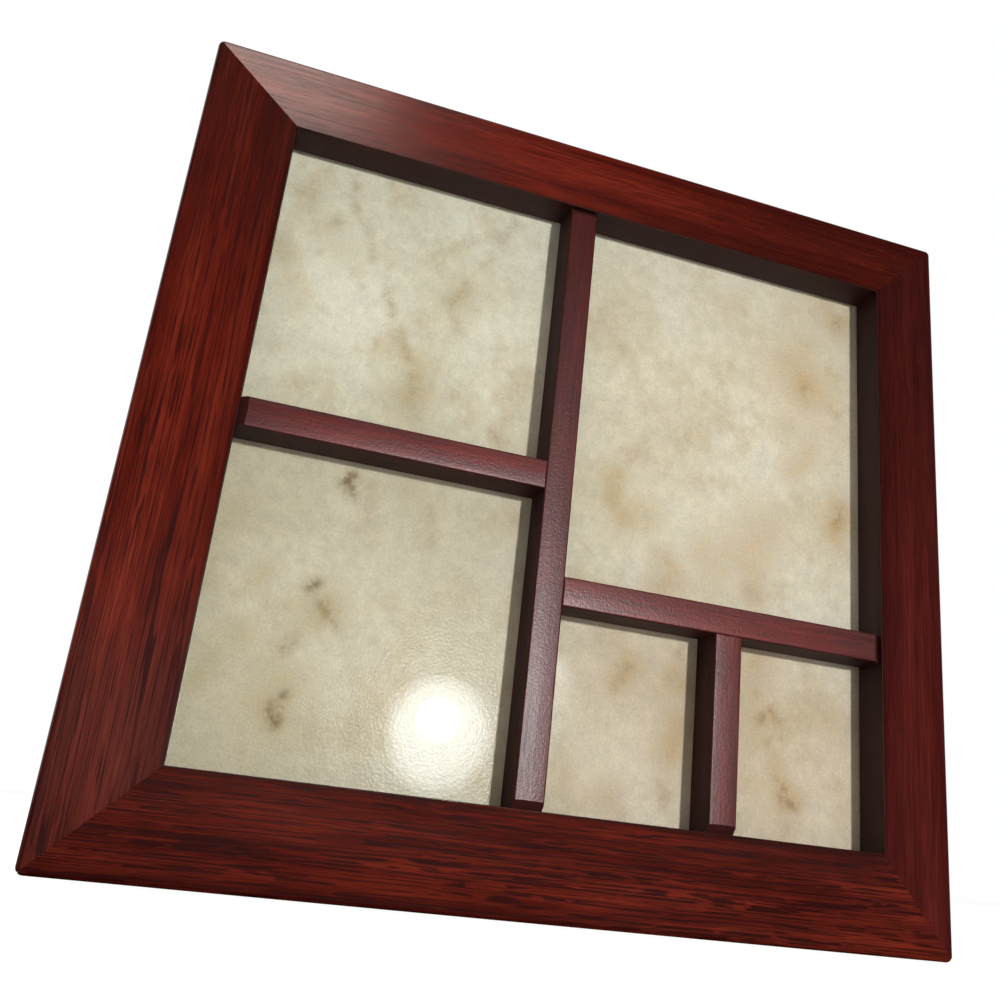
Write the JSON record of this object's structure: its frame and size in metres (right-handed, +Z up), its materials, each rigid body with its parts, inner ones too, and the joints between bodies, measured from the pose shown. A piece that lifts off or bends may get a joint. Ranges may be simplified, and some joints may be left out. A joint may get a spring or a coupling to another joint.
{
  "type": "collage photo frame",
  "caption": "Mitred dark red wooden collage frame with square and oblong windows, glass, turn buttons, a wall hanger and a folding easel leg.",
  "frame": {"origin": "on the wall plane, at the middle notch of the sawtooth hanger, where the wall nail carries the frame", "axes": "+X to the right and +Z up as seen from the front; +Y from the viewer into the wall"},
  "size_m": [0.2348, 0.0229, 0.2202],
  "materials": {
    "rail_wood": "open-grained wood stained dark red under a satin lacquer",
    "divider_wood": "fine-grained wood stained dark red under a satin lacquer",
    "dowel_wood": "bare pale wood",
    "plain_steel": "bare bright steel",
    "zinc_steel": "zinc-plated pressed steel",
    "brassed_steel": "brass-plated steel",
    "clear_glass": "clear polished float glass",
    "parchment_paper": "cream parchment print, matte",
    "grey_card": "plain grey card",
    "black_board": "fibreboard faced with black textured paper",
    "soft_rubber": "soft black rubber"
  },
  "bodies": {
    "root": {"top_rail": "rail_wood", "right_rail": "rail_wood", "bottom_rail": "rail_wood", "left_rail": "rail_wood", "vertical_divider": "divider_wood", "left_cross_divider": "divider_wood", "right_cross_divider": "divider_wood", "small_divider": "divider_wood", "divider_dowels": "dowel_wood", "corner_v_nails": "plain_steel", "glass_pane": "clear_glass", "display_sheet": "parchment_paper", "filler_card": "grey_card", "backing_board": "black_board", "bumpers": "soft_rubber", "turn_button_screws": "zinc_steel", "sawtooth_hanger": "brassed_steel", "hanger_nails": "brassed_steel", "hinge_board_leaf": "zinc_steel", "hinge_pin": "plain_steel", "board_rivets": "zinc_steel"},
    "leg": {"easel_leg": "black_board", "hinge_leg_leaf": "zinc_steel", "leg_rivets": "zinc_steel"},
    "turn_button_left_upper": {"turn_button_left_upper": "zinc_steel"},
    "turn_button_left_lower": {"turn_button_left_lower": "zinc_steel"},
    "turn_button_right_upper": {"turn_button_right_upper": "zinc_steel"},
    "turn_button_right_lower": {"turn_button_right_lower": "zinc_steel"}
  },
  "joints": [
    {"name": "leg_hinge", "type": "hinge", "parent": "root", "child": "leg", "pos_m": [0, -0.003, -0.0592], "axis": [1, 0, 0], "range_deg": [0, 30]},
    {"name": "turn_button_left_upper_pivot", "type": "hinge", "parent": "root", "child": "turn_button_left_upper", "pos_m": [-0.1075, -0.00425, -0.0531], "axis": [0, 1, 0], "range_deg": [-90, 90]},
    {"name": "turn_button_left_lower_pivot", "type": "hinge", "parent": "root", "child": "turn_button_left_lower", "pos_m": [-0.1075, -0.00425, -0.1451], "axis": [0, 1, 0], "range_deg": [-90, 90]},
    {"name": "turn_button_right_upper_pivot", "type": "hinge", "parent": "root", "child": "turn_button_right_upper", "pos_m": [0.1075, -0.00425, -0.0531], "axis": [0, 1, 0], "range_deg": [-90, 90]},
    {"name": "turn_button_right_lower_pivot", "type": "hinge", "parent": "root", "child": "turn_button_right_lower", "pos_m": [0.1075, -0.00425, -0.1451], "axis": [0, 1, 0], "range_deg": [-90, 90]}
  ]
}
